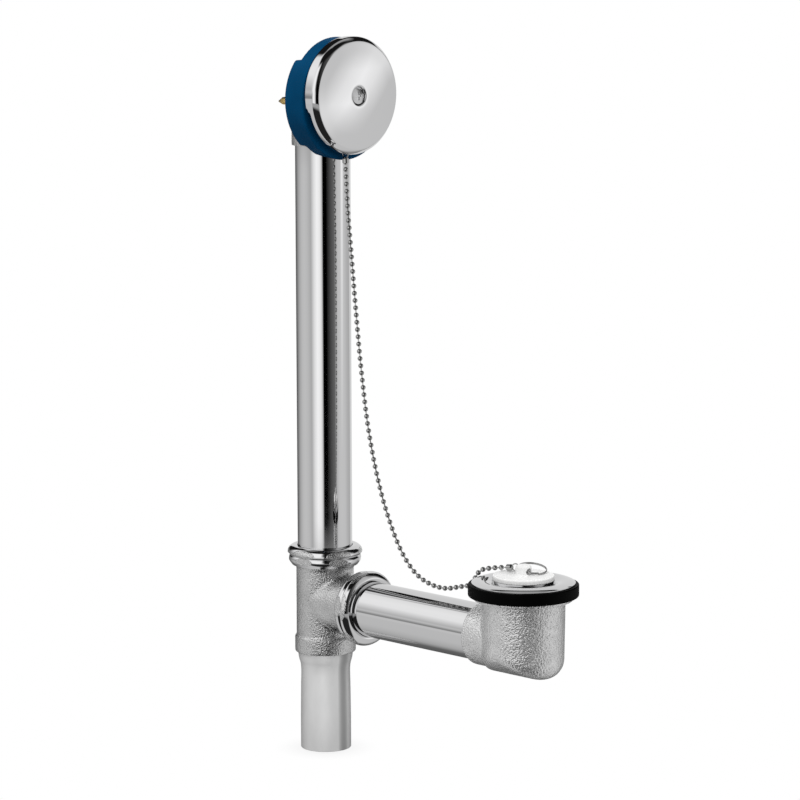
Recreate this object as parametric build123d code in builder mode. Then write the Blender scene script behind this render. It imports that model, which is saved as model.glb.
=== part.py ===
from build123d import *
import os
from math import atan, cos, pi, radians, sin, sqrt, tan

# Bath waste and overflow with chain and stopper, in millimetres, +Z up.
# The origin is the centre of the drain on the bath floor, +X points from the overflow tube to the drain.

# Layout
overflow_reach = 188.0      # drain axis back to the overflow tube axis
branch_drop = 39.0          # bath floor down to the shoe tube axis
overflow_height = 311.5     # bath floor up to the overflow elbow axis
plate_lift = 2.5            # faceplate centre above the elbow axis

# Tubes and the sockets that take them
tube_od = 38.1
tube_wall = 1.2
slip_gap = 0.15             # radial gap of a tube in a socket
waterway_step = 1.75        # shoulder that stops a tube in its socket
stop_gap = 0.3              # tube end to shoulder

# Tee casting
tee_rise = 33.5             # branch axis up to the upper end
tee_reach = 40.0            # tube axis out to the branch end
tee_fall = 36.0             # branch axis down to the lower end
barrel_od = 40.2
branch_od = 39.6
thread_wall = 2.5           # wall under a slip thread
thread_length = 9.5
tee_insert = 9.0            # how deep a tube sits in the tee
collar_wall = 2.0
collar_round = 0.45
collar_height = 11.5
tail_insert = 12.5
tee_blend = 3.0             # round where the branch meets the barrel

# Slip nuts and their washers
thread_gap = 0.15
nut_mouth_gap = 0.35
nut_wall = 2.6              # at the wrench flats
nut_band = 0.9              # rounded band proud of its flats
nut_dome = 1.6              # domed end proud of the flats
nut_length = 13.8
nut_roof = 2.5
nut_dome_height = 5.2
nut_groove = 2.0            # groove between the dome and the band
nut_band_height = 4.8
nut_flats = 6
top_nut_turn = -21.5        # direction of a flat
branch_nut_turn = -10.0
slip_washer_height = 4.0

# Tailpiece
tail_band_height = 7.0      # band that shows below the tee
tail_neck_height = 8.0
tail_od = 35.2
tail_neck_od = 33.9
tail_wall = 1.2
tail_bottom = 144.0         # bath floor down to the outlet end
tail_spigot = 34.0          # straight outlet end

# Drain flange, stopper and washer
flange_od = 69.0
flange_edge = 0.9
flange_crown = 2.4
flange_dish = 0.5           # brim height at the foot of the seat ring
flange_body_od = 48.0
flange_body_depth = 19.5
throat_od = 39.6
seat_height = 2.7           # bath floor up to the seat of the stopper
seat_lip = 0.3              # seat ring wider than the stopper
cross_width = 4.0
cross_height = 3.5
washer_od = 73.6
washer_height = 8.2
washer_gap = 0.4
stopper_od = 41.2
stopper_height = 3.1
stopper_plug_gap = 0.4
stopper_plug_depth = 13.0
stopper_plug_taper = 2.2
knob_od = 10.6
knob_height = 6.7
knob_round = 1.9
knob_hole_od = 4.7
knob_hole_rise = 2.4        # disc top up to the hole axis
knob_hole_turn = 2.5

# Drain shoe
shoe_wall = 3.7
shoe_taper = 0.8            # how much slimmer the body is at its foot
shoe_floor = 3.2
shoe_depth = 61.7           # bath floor down to the lowest point
shoe_belly_r = 34.0         # round of the underside
shoe_rim_od = 66.0
shoe_rim_height = 2.6
shoe_reach = 37.0           # drain axis out to the socket mouth
shoe_collar_wall = 2.3
shoe_insert = 12.0
shoe_end_round = 8.0
shoe_blend = 2.0            # round where the socket meets the body

# Overflow elbow, gasket and faceplate
elbow_wall = 2.1
elbow_drop = 32.5           # elbow axis down to the collar end
elbow_insert = 15.0
elbow_flange_od = 72.0
elbow_flange_face = 20.4    # tube axis forward to the flange face
elbow_flange_height = 4.0
boss_od = 12.0
boss_length = 5.0
gasket_od = 83.2
gasket_face = 3.0           # rubber in front of the elbow flange
gasket_rim = 11.5
gasket_hub = 6.5
gasket_hub_top = 27.0
gasket_hub_bottom = 31.0
gasket_gap = 0.2
gasket_mouth_od = 40.0
gasket_lip = 1.6            # rubber that shows round the faceplate
plate_sheet = 1.0
plate_skirt = 6.3
plate_shoulder = 4.8        # depth of the rounded shoulder
plate_shoulder_width = 4.0
plate_crown = 1.6
inlet_depth = 4.3           # how far the lower skirt is cut back
inlet_start = 7.0           # faceplate centre down to the cut
chain_hole_od = 1.9
chain_hole_inset = 3.0      # cut-back edge to the hole axis
chain_hole_turn = 8.5

# Faceplate screw
screw_drop = 7.2            # tip below the faceplate centre
screw_od = 4.8
screw_gap = 0.1
screw_length = 78.0
screw_point = 4.0
screw_head_od = 10.8
screw_head_height = 2.0
dimple_od = 12.4
dimple_depth = 2.4
drive_width = 1.3
drive_depth = 1.2

# Ball chain, its couplings and the stopper ring
bead_od = 3.5
bead_pitch = 5.0
link_od = 0.9
link_gap = 0.02
ring_od = 19.3              # middle of the wire
ring_wire = 0.8
ring_turns = 2
ring_gap = 0.1
ring_tilt = 11.0
ring_lean = -22.0           # direction of the ring's low side
hook_turn = -113.0          # low side round to the coupling
loop_od = 5.2
loop_wire = 0.8
barrel_wall = 0.4
barrel_lip = 0.5            # barrel past the middle of the end bead
bead_play = 0.08
coupling_reach = 5.8        # loop centre to the end bead

# Chain route between the beads that the two couplings hold
chain_route = [
    (-159.4, -5.1, 250.0), (-158.8, -4.6, 233.0), (-157.6, -3.8, 216.0), (-156.1, -3.3, 197.0),
    (-154.3, -3.0, 177.0), (-152.4, -2.6, 157.0), (-150.4, -2.3, 137.0), (-147.9, -1.9, 117.0),
    (-145.2, -1.5, 97.0), (-141.5, -1.1, 77.5), (-136.5, -0.8, 58.0), (-130.3, -0.5, 39.0),
    (-124.0, -0.3, 25.0), (-117.3, -0.2, 12.0), (-108.8, -0.1, 0.0), (-97.0, -0.4, -9.6),
    (-82.0, -1.2, -13.6), (-68.7, -2.0, -13.6), (-56.3, -2.6, -10.2), (-49.3, -3.1, -7.0),
    (-43.3, -3.6, -1.9), (-35.4, -3.9, 3.9), (-30.2, -3.4, 5.9), (-25.3, -2.6, 7.1),
    (-20.4, -1.6, 8.0),
]

# Sizes that follow from the ones above
tube_r = tube_od / 2
socket_r = tube_r + slip_gap
waterway_r = socket_r - waterway_step
thread_r = socket_r + thread_wall
barrel_r = barrel_od / 2
seat_length = slip_washer_height + nut_roof
branch_z = -branch_drop
tee_top = branch_z + tee_rise
tee_bottom = branch_z - tee_fall
tail_top = tee_bottom + tail_insert - stop_gap
flange_r = flange_od / 2
flange_body_r = flange_body_od / 2
throat_r = throat_od / 2
shoe_bore_r = flange_body_r + thread_gap
shoe_r = shoe_bore_r + shoe_wall
shoe_top = -washer_height
shoe_collar_r = socket_r + shoe_collar_wall
elbow_r = socket_r + elbow_wall
elbow_bottom = overflow_height - elbow_drop
elbow_shoulder = elbow_bottom + elbow_insert + stop_gap
gasket_front = elbow_flange_face + gasket_face
plate_r = gasket_od / 2 - gasket_lip
plate_z = overflow_height + plate_lift
plate_depth = plate_skirt + plate_shoulder
plate_face = gasket_front + plate_depth + plate_crown
disc_top = seat_height + stopper_height

# Frames of the turned pieces: the z axis of each is the axis of the piece
drain_seat = Plane.XY
tube_seat = Plane(origin=(-overflow_reach, 0, 0), x_dir=(1, 0, 0), z_dir=(0, 0, 1))
branch_seat = Plane(origin=(-overflow_reach, 0, branch_z), x_dir=(0, 1, 0), z_dir=(1, 0, 0))
elbow_seat = Plane(origin=(-overflow_reach, 0, overflow_height), x_dir=(0, 1, 0), z_dir=(1, 0, 0))
plate_seat = Plane(origin=(gasket_front - overflow_reach, 0, plate_z), x_dir=(0, 1, 0), z_dir=(1, 0, 0))
screw_tilt = atan(screw_drop / screw_length)
screw_seat = Plane(
    origin=(plate_face - overflow_reach, 0, plate_z),
    x_dir=(0, 1, 0),
    z_dir=(cos(screw_tilt), 0, sin(screw_tilt)),
)


def section(seat):
    """Half-plane of a turned piece: local x is the radius and local y runs along the axis."""
    return Plane(origin=seat.origin, x_dir=seat.x_dir, z_dir=-seat.y_dir)


def turning_axis(seat):
    """Axis that a turned piece is revolved about."""
    return Axis(seat.origin, seat.z_dir)


def turn(seat, *points, mode=Mode.ADD):
    """Revolve a straight-sided outline of (radius, height) points about the seat's axis."""
    with BuildSketch(section(seat)) as outline:
        with BuildLine():
            Polyline(*points, close=True)
        make_face()
    revolve(outline.sketch, axis=turning_axis(seat), mode=mode)


def bore(seat, radius, low, high):
    """Cut a round bore between two heights on the seat's axis."""
    turn(seat, (0, low), (radius, low), (radius, high), (0, high), mode=Mode.SUBTRACT)


def round_underside(radius, low):
    """Round the underside of a cup to a trough that runs along X."""
    with BuildSketch(Plane.YZ.offset(-2 * radius)) as under:
        with Locations((0, low)):
            Rectangle(4 * radius, 2 * radius)
        with Locations((0, low + radius)):
            Circle(radius, mode=Mode.SUBTRACT)
    extrude(under.sketch, amount=4 * radius, mode=Mode.SUBTRACT)


def plain_tube(seat, radius, wall, low, high):
    """Straight drawn tube between two heights on the seat's axis."""
    with BuildPart() as tube:
        turn(seat, (radius - wall, low), (radius, low), (radius, high), (radius - wall, high))
    return tube.part


def slip_nut(seat, end, flat_turn):
    """Domed slip nut with a rounded band and oval wrench flats, screwed on the end of a casting."""
    mouth = end + seat_length
    mouth_r = tube_r + nut_mouth_gap
    inner_r = thread_r + thread_gap
    flat_r = inner_r + nut_wall
    dome_r = flat_r + nut_dome
    dome_low = mouth - nut_dome_height
    band_high = dome_low - nut_groove
    band_low = band_high - nut_band_height
    bottom = mouth - nut_length
    with BuildPart() as nut:
        with BuildSketch(section(seat)) as outline:
            with BuildLine():
                ThreePointArc(
                    (mouth_r, mouth - 0.1 * nut_dome_height),
                    (mouth_r + 0.68 * (dome_r - mouth_r), mouth - 0.22 * nut_dome_height),
                    (dome_r, dome_low),
                )
                Line((dome_r, dome_low), (flat_r, band_high))
                ThreePointArc(
                    (flat_r, band_high),
                    (flat_r + nut_band, (band_high + band_low) / 2),
                    (flat_r, band_low),
                )
                Polyline(
                    (flat_r, band_low),
                    (flat_r - nut_wall / 2, bottom),
                    (inner_r, bottom),
                    (inner_r, mouth - nut_roof),
                    (mouth_r, mouth - nut_roof),
                    (mouth_r, mouth - 0.1 * nut_dome_height),
                )
            make_face()
        revolve(outline.sketch, axis=turning_axis(seat))
        with BuildSketch(seat.offset(band_low)) as flats:
            with PolarLocations(flat_r + nut_wall / 2, nut_flats, start_angle=flat_turn):
                Rectangle(nut_wall, 2 * flat_r * tan(pi / nut_flats))
        extrude(flats.sketch, amount=nut_band_height, mode=Mode.SUBTRACT)
    return nut.part


def slip_washer(seat, end):
    """Bevelled rubber ring that the nut squeezes between the casting's end and the tube."""
    inner_r = tube_r + slip_gap / 2
    with BuildPart() as ring:
        turn(
            seat,
            (inner_r, end),
            (thread_r, end),
            (thread_r, end + slip_washer_height / 2),
            (inner_r + thread_wall / 2, end + slip_washer_height),
            (inner_r, end + slip_washer_height),
        )
    return ring.part


def chain_coupling(loop_centre, end_bead, side):
    """Small crimped barrel around the end bead, with a wire loop at its other end."""
    reach = (end_bead - loop_centre).length
    toward = (end_bead - loop_centre) / reach
    loop_seat = Plane(origin=loop_centre, x_dir=toward, z_dir=toward.cross(side))
    barrel_seat = Plane(origin=loop_centre, x_dir=toward.cross(side), z_dir=toward)
    hold_r = bead_od / 2 + bead_play
    barrel_r = hold_r + barrel_wall
    near = loop_od / 2
    with BuildPart() as coupling:
        with BuildSketch(section(loop_seat)) as wire:
            with Locations((loop_od / 2, 0)):
                Circle(loop_wire / 2)
        revolve(wire.sketch, axis=turning_axis(loop_seat))
        turn(
            barrel_seat,
            (0, near - loop_wire / 4),
            (hold_r - barrel_wall, near - loop_wire / 4),
            (barrel_r, near + loop_wire),
            (barrel_r, reach + barrel_lip),
            (hold_r, reach + barrel_lip),
            (hold_r, reach - hold_r),
            (0, reach - hold_r),
        )
    return coupling.part


# Overflow elbow: a cast bend with a socket below, a round face flange and a tapped boss behind
with BuildPart() as overflow_elbow:
    flange_back = elbow_flange_face - elbow_flange_height
    turn(
        tube_seat,
        (0, elbow_bottom),
        (elbow_r, elbow_bottom),
        (elbow_r, overflow_height),
        (0, overflow_height),
    )
    with Locations(elbow_seat):
        Sphere(elbow_r)
    turn(
        elbow_seat,
        (0, 0),
        (elbow_r, 0),
        (elbow_r, flange_back),
        (elbow_flange_od / 2, flange_back),
        (elbow_flange_od / 2, elbow_flange_face),
        (0, elbow_flange_face),
    )
    boss_back = -(plate_face + elbow_r) / cos(screw_tilt) - boss_length
    turn(
        screw_seat,
        (0, boss_back),
        (boss_od / 2, boss_back),
        (boss_od / 2, -plate_face),
        (0, -plate_face),
    )
    bore(tube_seat, socket_r, elbow_bottom - elbow_flange_od / 2, elbow_shoulder)
    bore(tube_seat, waterway_r, elbow_bottom, overflow_height)
    with Locations(elbow_seat):
        Sphere(waterway_r, mode=Mode.SUBTRACT)
    bore(elbow_seat, waterway_r, 0, elbow_flange_face + elbow_r)
    bore(screw_seat, screw_od / 2 + screw_gap, boss_back, -plate_face)
overflow_elbow.part.label = "overflow_elbow"

# Overflow gasket: soft rubber that wraps the elbow flange, with a hub behind and a saddle for the collar
with BuildPart() as overflow_gasket:
    rim_back = gasket_front - gasket_rim
    hub_back = rim_back - gasket_hub
    with BuildSketch(section(elbow_seat)) as outline:
        with BuildLine():
            Polyline(
                (0, hub_back),
                (gasket_od / 2, hub_back),
                (gasket_od / 2, gasket_front),
                (0, gasket_front),
                close=True,
            )
        make_face()
    revolve(outline.sketch, axis=turning_axis(elbow_seat))
    with BuildSketch(elbow_seat.offset(rim_back)) as cuts:
        with Locations((0, gasket_hub_top + gasket_od / 2), (0, -gasket_hub_bottom - gasket_od / 2)):
            Rectangle(2 * gasket_od, gasket_od)
    extrude(cuts.sketch, amount=-2 * gasket_hub, mode=Mode.SUBTRACT)
    hub_edges = overflow_gasket.edges().group_by(Axis.X)[0]
    fillet(hub_edges, gasket_hub / 3)
    bore(elbow_seat, elbow_r + gasket_gap, hub_back, rim_back + gasket_hub)
    bore(elbow_seat, elbow_flange_od / 2 + gasket_gap, flange_back - gasket_gap, elbow_flange_face)
    bore(elbow_seat, gasket_mouth_od / 2, elbow_flange_face, gasket_front)
    bore(tube_seat, elbow_r + 2 * gasket_gap, elbow_bottom - gasket_od, overflow_height)
overflow_gasket.part.label = "overflow_gasket"

# Faceplate: pressed sheet, domed, with a rounded shoulder and a skirt cut back below as the inlet
with BuildPart() as overflow_faceplate:
    face_r = plate_r - plate_shoulder_width
    with BuildSketch(section(plate_seat)) as outline:
        with BuildLine():
            for inset in (0, plate_sheet):
                ThreePointArc(
                    (plate_r - inset, plate_skirt),
                    (
                        plate_r - inset - 0.25 * plate_shoulder_width,
                        plate_skirt + 0.68 * plate_shoulder - 0.5 * inset,
                    ),
                    (face_r - 0.5 * inset, plate_depth - 0.85 * inset),
                )
                ThreePointArc(
                    (face_r - 0.5 * inset, plate_depth - 0.85 * inset),
                    (face_r / 2, plate_depth + 0.75 * plate_crown - inset),
                    (0, plate_depth + plate_crown - inset),
                )
            Line((0, plate_depth + plate_crown), (0, plate_depth + plate_crown - plate_sheet))
            Polyline(
                (plate_r, plate_skirt),
                (plate_r, 0),
                (plate_r - plate_sheet, 0),
                (plate_r - plate_sheet, plate_skirt),
            )
        make_face()
    revolve(outline.sketch, axis=turning_axis(plate_seat))
    with BuildSketch(Plane(origin=plate_seat.origin, x_dir=(1, 0, 0), z_dir=(0, -1, 0))) as inlet:
        with BuildLine():
            Polyline(
                (-inlet_depth, -inlet_start),
                (inlet_depth / 2, -inlet_start),
                (inlet_depth, -inlet_start - inlet_depth),
                (inlet_depth, -2 * plate_r),
                (-inlet_depth, -2 * plate_r),
                close=True,
            )
        make_face()
        fillet(inlet.vertices().sort_by(Axis.X)[-2:].sort_by(Axis.Y)[-1], inlet_depth / 2)
    extrude(inlet.sketch, amount=2 * plate_r, both=True, mode=Mode.SUBTRACT)
    bore(screw_seat, dimple_od / 2, -dimple_depth - plate_sheet, dimple_depth)
    turn(
        screw_seat,
        (screw_od / 2 + 4 * screw_gap, -dimple_depth - plate_sheet),
        (dimple_od / 2 + plate_sheet, -dimple_depth - plate_sheet),
        (dimple_od / 2 + plate_sheet, -plate_sheet / 2),
        (dimple_od / 2, -plate_sheet / 2),
        (dimple_od / 2, -dimple_depth),
        (screw_od / 2 + 4 * screw_gap, -dimple_depth),
    )
    hole_turn = radians(chain_hole_turn)
    hole_out = Vector(0, -sin(hole_turn), -cos(hole_turn))
    hole_x = gasket_front + inlet_depth + chain_hole_inset - overflow_reach
    hole_centre = Vector(hole_x, 0, plate_z) + hole_out * (plate_r - plate_sheet / 2)
    chain_hole = Plane(origin=hole_centre, x_dir=(1, 0, 0), z_dir=hole_out)
    bore(chain_hole, chain_hole_od / 2, -plate_sheet, plate_sheet)
overflow_faceplate.part.label = "overflow_faceplate"

# Faceplate screw: long brass screw with a recessed head, threaded into the elbow's rear boss
with BuildPart() as faceplate_screw:
    head_low = -dimple_depth
    head_high = head_low + screw_head_height
    tip = -screw_length / cos(screw_tilt) - plate_sheet
    with BuildSketch(section(screw_seat)) as outline:
        with BuildLine():
            Polyline(
                (0, head_high),
                (0, tip),
                (screw_od / 8, tip),
                (screw_od / 2, tip + screw_point),
                (screw_od / 2, head_low),
                (screw_head_od / 2, head_low),
                (screw_head_od / 2, head_low + screw_head_height / 2),
            )
            ThreePointArc(
                (screw_head_od / 2, head_low + screw_head_height / 2),
                (screw_head_od / 4, head_low + 0.85 * screw_head_height),
                (0, head_high),
            )
        make_face()
    revolve(outline.sketch, axis=turning_axis(screw_seat))
    with BuildSketch(screw_seat.offset(head_high)) as drive:
        Rectangle(0.55 * screw_head_od, drive_width)
        Rectangle(drive_width, 0.55 * screw_head_od)
    extrude(drive.sketch, amount=-drive_depth, taper=12, mode=Mode.SUBTRACT)
faceplate_screw.part.label = "faceplate_screw"

# Overflow tube
overflow_tube = plain_tube(tube_seat, tube_r, tube_wall, tee_top - tee_insert, elbow_shoulder - stop_gap)
overflow_tube.label = "overflow_tube"

# Tee: cast barrel and branch with slip threads, a plain collar below and stepped waterways
with BuildPart() as tee_body:
    collar_r = socket_r + collar_wall
    turn(
        tube_seat,
        (0, tee_bottom),
        (collar_r, tee_bottom),
        (collar_r, tee_bottom + collar_height),
        (barrel_r, tee_bottom + collar_height),
        (barrel_r, tee_top),
        (0, tee_top),
    )
    rims = tee_body.edges().filter_by(GeomType.CIRCLE)
    collar_rims = rims.filter_by(lambda e: e.radius > barrel_r + collar_round)
    fillet(collar_rims, collar_round)
    branch_r = branch_od / 2
    turn(branch_seat, (0, 0), (branch_r, 0), (branch_r, tee_reach), (0, tee_reach))
    branch_root = tee_body.edges().filter_by(lambda e: e.geom_type not in (GeomType.CIRCLE, GeomType.LINE))
    fillet(branch_root, tee_blend)
    for seat, end, root_r in ((tube_seat, tee_top, barrel_r), (branch_seat, tee_reach, branch_r)):
        turn(
            seat,
            (waterway_r, end - thread_length),
            (root_r, end - thread_length),
            (thread_r, end - thread_length + thread_wall),
            (thread_r, end),
            (waterway_r, end),
        )
    bore(tube_seat, waterway_r, tee_bottom, tee_top)
    bore(branch_seat, waterway_r, 0, tee_reach)
    bore(tube_seat, socket_r, tee_top - tee_insert - stop_gap, tee_top)
    bore(branch_seat, socket_r, tee_reach - tee_insert - stop_gap, tee_reach)
    bore(tube_seat, socket_r, tee_bottom, tee_bottom + tail_insert)
tee_body.part.label = "tee_body"

# Slip nuts and washers of the two slip joints
top_slip_nut = slip_nut(tube_seat, tee_top, top_nut_turn)
top_slip_nut.label = "top_slip_nut"
top_slip_washer = slip_washer(tube_seat, tee_top)
top_slip_washer.label = "top_slip_washer"
branch_slip_nut = slip_nut(branch_seat, tee_reach, branch_nut_turn)
branch_slip_nut.label = "branch_slip_nut"
branch_slip_washer = slip_washer(branch_seat, tee_reach)
branch_slip_washer.label = "branch_slip_washer"

# Tailpiece: drawn tube that keeps the tube size in the tee and necks down to the outlet
with BuildPart() as tailpiece:
    band_low = tee_bottom - tail_band_height
    neck_low = band_low - tail_neck_height
    spigot_r = tail_od / 2
    neck_r = tail_neck_od / 2
    spigot_top = tail_spigot - tail_bottom
    with BuildSketch(section(tube_seat)) as outline:
        with BuildLine():
            for inset in (0, tail_wall):
                Polyline((tube_r - inset, tail_top), (tube_r - inset, band_low))
                Spline(
                    (tube_r - inset, band_low),
                    (neck_r - inset, neck_low),
                    tangents=((0, -1), (0, -1)),
                )
                Polyline(
                    (neck_r - inset, neck_low),
                    (spigot_r - inset, spigot_top),
                    (spigot_r - inset, -tail_bottom),
                )
            Line((tube_r, tail_top), (tube_r - tail_wall, tail_top))
            Line((spigot_r, -tail_bottom), (spigot_r - tail_wall, -tail_bottom))
        make_face()
    revolve(outline.sketch, axis=turning_axis(tube_seat))
    outlet_rims = tailpiece.edges().filter_by(GeomType.CIRCLE).group_by(Axis.Z)[0]
    fillet(outlet_rims.sort_by(SortBy.RADIUS)[-1], tail_wall / 2)
tailpiece.part.label = "tailpiece"

# Shoe tube
shoe_tube = plain_tube(
    branch_seat, tube_r, tube_wall, tee_reach - tee_insert, overflow_reach - shoe_reach + shoe_insert
)
shoe_tube.label = "shoe_tube"

# Drain shoe: cast cup with a round belly, a side socket and a rim under the washer
with BuildPart() as shoe_hollow:
    turn(drain_seat, (0, -shoe_depth), (shoe_bore_r, -shoe_depth), (shoe_bore_r, shoe_top), (0, shoe_top))
    round_underside(shoe_belly_r - shoe_floor, shoe_floor - shoe_depth)
with BuildPart() as drain_shoe:
    foot_r = shoe_r - shoe_taper
    turn(
        drain_seat,
        (0, -shoe_depth),
        (foot_r, -shoe_depth),
        (shoe_r, shoe_top - shoe_rim_height),
        (0, shoe_top - shoe_rim_height),
    )
    round_underside(shoe_belly_r, -shoe_depth)
    fillet(drain_shoe.edges().filter_by(lambda e: e.bounding_box().max.Z < branch_z), shoe_end_round)
    socket_seat = Plane(origin=(0, 0, branch_z), x_dir=(0, 1, 0), z_dir=(-1, 0, 0))
    turn(socket_seat, (0, 0), (shoe_collar_r, 0), (shoe_collar_r, shoe_reach), (0, shoe_reach))
    plain = (GeomType.CIRCLE, GeomType.LINE)
    socket_root = drain_shoe.edges().filter_by(lambda e: e.geom_type not in plain)
    socket_root = socket_root.filter_by(lambda e: -shoe_reach < e.center().X < -shoe_collar_r / 2)
    fillet(socket_root, shoe_blend)
    rim_low = shoe_top - shoe_rim_height
    turn(drain_seat, (0, rim_low), (shoe_rim_od / 2, rim_low), (shoe_rim_od / 2, shoe_top), (0, shoe_top))
    add(shoe_hollow.part, mode=Mode.SUBTRACT)
    bore(socket_seat, waterway_r, 0, shoe_reach)
    bore(socket_seat, socket_r, shoe_reach - shoe_insert - stop_gap, shoe_reach)
drain_shoe.part.label = "drain_shoe"

# Bath washer: thick rubber ring between the shoe and the bath
with BuildPart() as bath_washer:
    washer_bore_r = flange_body_r + washer_gap
    washer_r = washer_od / 2
    turn(drain_seat, (washer_bore_r, shoe_top), (washer_r, shoe_top), (washer_r, 0), (washer_bore_r, 0))
    fillet(bath_washer.edges().filter_by(GeomType.CIRCLE).sort_by(SortBy.RADIUS)[-2:], washer_height / 8)
bath_washer.part.label = "bath_washer"

# Drain flange: crowned brim, stopper seat, threaded body and a strainer cross
with BuildPart() as drain_flange:
    seat_r = stopper_od / 2 + seat_lip
    with BuildSketch(section(drain_seat)) as outline:
        with BuildLine():
            Polyline(
                (seat_r, flange_dish),
                (seat_r, seat_height),
                (throat_r, seat_height),
                (throat_r, -flange_body_depth),
                (flange_body_r, -flange_body_depth),
                (flange_body_r, 0),
                (flange_r, 0),
                (flange_r, flange_edge),
            )
            ThreePointArc(
                (flange_r, flange_edge),
                (seat_r + 0.55 * (flange_r - seat_r), flange_crown),
                (seat_r, flange_dish),
            )
        make_face()
    revolve(outline.sketch, axis=turning_axis(drain_seat))
    with BuildSketch(Plane.XY.offset(-flange_body_depth)) as cross:
        Rectangle(throat_r + flange_body_r, cross_width)
        Rectangle(cross_width, throat_r + flange_body_r)
    extrude(cross.sketch, amount=cross_height)
drain_flange.part.label = "drain_flange"

# Stopper: rubber plug with a broad disc and a knob drilled for the ring
with BuildPart() as stopper:
    disc_r = stopper_od / 2
    plug_r = throat_r - stopper_plug_gap
    knob_r = knob_od / 2
    knob_top = disc_top + knob_height
    plug_low = seat_height - stopper_plug_depth
    with BuildSketch(section(drain_seat)) as outline:
        with BuildLine():
            Polyline(
                (0, knob_top),
                (0, plug_low),
                (plug_r - stopper_plug_taper, plug_low),
                (plug_r, seat_height),
                (disc_r, seat_height),
                (disc_r, disc_top),
                (knob_r, disc_top),
                (knob_r, knob_top),
                (0, knob_top),
            )
        make_face()
    revolve(outline.sketch, axis=turning_axis(drain_seat))
    top_rims = stopper.edges().filter_by(GeomType.CIRCLE).group_by(Axis.Z)
    fillet(top_rims[-1], knob_round)
    fillet(top_rims[-2], stopper_height / 4)
    hole_z = disc_top + knob_hole_rise
    hole_axis = Vector(cos(radians(knob_hole_turn)), sin(radians(knob_hole_turn)), 0)
    knob_hole = Plane(origin=(0, 0, hole_z), x_dir=(0, 0, 1), z_dir=hole_axis)
    bore(knob_hole, knob_hole_od / 2, -knob_od, knob_od)
stopper.part.label = "stopper"

# Stopper ring: split ring of two turns of wire, threaded through the knob and resting on the disc
ring_r = ring_od / 2
ring_height = ring_turns * ring_wire
ring_sag = ring_r - sqrt(ring_r**2 - knob_r**2)
tilt = radians(ring_tilt)
low_side = Vector(cos(radians(ring_lean)), sin(radians(ring_lean)), 0)
up = Vector(0, 0, 1)
ring_turn = radians(knob_hole_turn + 90)
ring_rise = ring_r * sin(tilt) + ring_height / 2 + ring_gap
ring_way = Vector(cos(ring_turn), sin(ring_turn), 0)
ring_centre = ring_way * (ring_r - ring_sag / 2) + up * (disc_top + ring_rise)
ring_seat = Plane(
    origin=ring_centre,
    x_dir=low_side * cos(tilt) - up * sin(tilt),
    z_dir=low_side * sin(tilt) + up * cos(tilt),
)
with BuildPart() as stopper_ring:
    with BuildSketch(section(ring_seat)) as wire:
        with Locations((ring_r, 0)):
            SlotOverall(ring_height, ring_wire, rotation=90)
    revolve(wire.sketch, axis=turning_axis(ring_seat))
stopper_ring.part.label = "stopper_ring"

# Couplings at the two ends of the chain: one loops over the faceplate's cut-back edge, one over the ring
plate_loop = hole_centre - Vector(loop_od / 2, 0, 0)
plate_run = (Vector(*chain_route[0]) - plate_loop).normalized()
chain_start = plate_loop + plate_run * coupling_reach
plate_coupling = chain_coupling(plate_loop, chain_start, Vector(1, 0, 0))
plate_coupling.label = "plate_coupling"
ring_hook = ring_seat.from_local_coords(
    Vector(ring_r * cos(radians(hook_turn)), ring_r * sin(radians(hook_turn)), 0)
)
stopper_run = (Vector(*chain_route[-1]) - ring_hook).normalized()
stopper_loop = ring_hook + stopper_run * (loop_od / 2 - loop_wire / 2 - ring_wire)
chain_end = stopper_loop + stopper_run * coupling_reach
stopper_coupling = chain_coupling(stopper_loop, chain_end, ring_seat.z_dir)
stopper_coupling.label = "stopper_coupling"

# Ball chain: beads at an even pitch along the route, and the pins that show between them
route = Spline(chain_start, *chain_route, chain_end)
bead_steps = round(route.length / bead_pitch)
bead_places = [route @ (i / bead_steps) for i in range(bead_steps + 1)]
with BuildPart() as chain_beads:
    with Locations(*bead_places):
        Sphere(bead_od / 2)
chain_beads.part.label = "chain_beads"
link_places = []
for first, second in zip(bead_places, bead_places[1:]):
    link_places.append(Plane(origin=(first + second) / 2, z_dir=second - first).location)
with BuildPart() as chain_links:
    with Locations(*link_places):
        Cylinder(link_od / 2, route.length / bead_steps - bead_od - 2 * link_gap)
chain_links.part.label = "chain_links"

pieces = [
    overflow_elbow.part,
    overflow_gasket.part,
    overflow_faceplate.part,
    faceplate_screw.part,
    overflow_tube,
    tee_body.part,
    top_slip_nut,
    top_slip_washer,
    branch_slip_nut,
    branch_slip_washer,
    tailpiece.part,
    shoe_tube,
    drain_shoe.part,
    bath_washer.part,
    drain_flange.part,
    stopper.part,
    stopper_ring.part,
    plate_coupling,
    stopper_coupling,
    chain_beads.part,
    chain_links.part,
]
os.makedirs("parts", exist_ok=True)
for piece in pieces:
    export_step(piece, f"parts/{piece.label}.step")
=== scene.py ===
"""Bath waste and overflow with chain and stopper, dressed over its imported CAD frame."""
import math

import bmesh
import bpy
from bpy.props import FloatProperty, FloatVectorProperty, IntProperty, PointerProperty
from mathutils import Matrix, Vector


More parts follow.
